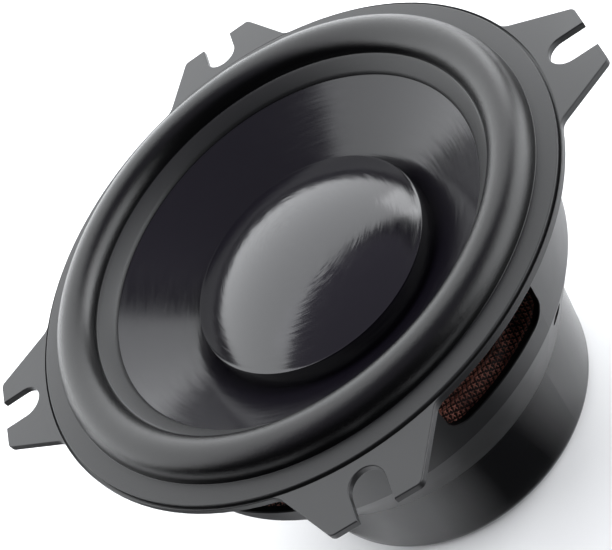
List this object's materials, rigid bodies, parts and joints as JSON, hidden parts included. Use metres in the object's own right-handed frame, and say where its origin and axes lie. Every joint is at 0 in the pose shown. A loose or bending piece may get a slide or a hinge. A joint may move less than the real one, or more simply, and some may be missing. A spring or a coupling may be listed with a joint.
{
  "type": "car loudspeaker driver",
  "caption": "Round car loudspeaker driver with a slotted-ear basket, one cone with a dust cap, a rubber roll surround, a corrugated spider and a covered magnet motor.",
  "frame": {"origin": "on the driver's axis, in the plane of the mounting face (the rear face of the flange)", "axes": "+Z along the axis, out of the cone towards the listener; the four ears lie on the diagonals of X and Y"},
  "size_m": [0.1018, 0.1018, 0.0629],
  "materials": {
    "basket_paint": "satin grey-black coating on pressed steel",
    "surround_rubber": "satin moulded rubber with a fine grain",
    "cone_skin": "satin-gloss black, with fine circular turning marks",
    "cap_skin": "satin-gloss black dome, with fine circular turning marks",
    "former_film": "amber film",
    "copper_wire": "lacquered copper",
    "collar_paper": "brown pressed paper",
    "adhesive": "glossy black adhesive",
    "tinned_brass": "bright tinned brass",
    "spider_cloth": "resin-treated brown-red open weave",
    "lead_braid": "braided tinsel",
    "motor_steel": "zinc-plated, satin",
    "ferrite": "matt sintered ferrite",
    "copper_sheet": "bare copper",
    "rivet_steel": "satin steel",
    "cover_paint": "smooth satin black coating",
    "block_plastic": "moulded, lightly textured"
  },
  "bodies": {
    "basket_assembly": {"basket": "basket_paint", "surround": "surround_rubber", "spider": "spider_cloth", "tinsel_lead_positive": "lead_braid", "tinsel_lead_negative": "lead_braid", "top_plate": "motor_steel", "magnet_ring": "ferrite", "yoke": "motor_steel", "copper_cap": "copper_sheet", "plate_rivets": "rivet_steel", "magnet_cover": "cover_paint", "terminal_block": "block_plastic", "terminal_rivet": "rivet_steel", "terminal_positive": "tinned_brass", "terminal_negative": "tinned_brass"},
    "cone_assembly": {"cone": "cone_skin", "dust_cap": "cap_skin", "coil_former": "former_film", "voice_coil": "copper_wire", "coil_collar": "collar_paper", "coil_leads": "copper_wire", "neck_adhesive": "adhesive", "lead_eyelets": "tinned_brass"}
  },
  "joints": [
    {"name": "cone_stroke", "type": "slide", "parent": "basket_assembly", "child": "cone_assembly", "axis": [0, 0, 1], "range_m": [-0.004, 0.004], "stiffness_N_per_m": 1250, "deforming": ["surround", "spider", "tinsel_lead_positive", "tinsel_lead_negative"]}
  ]
}
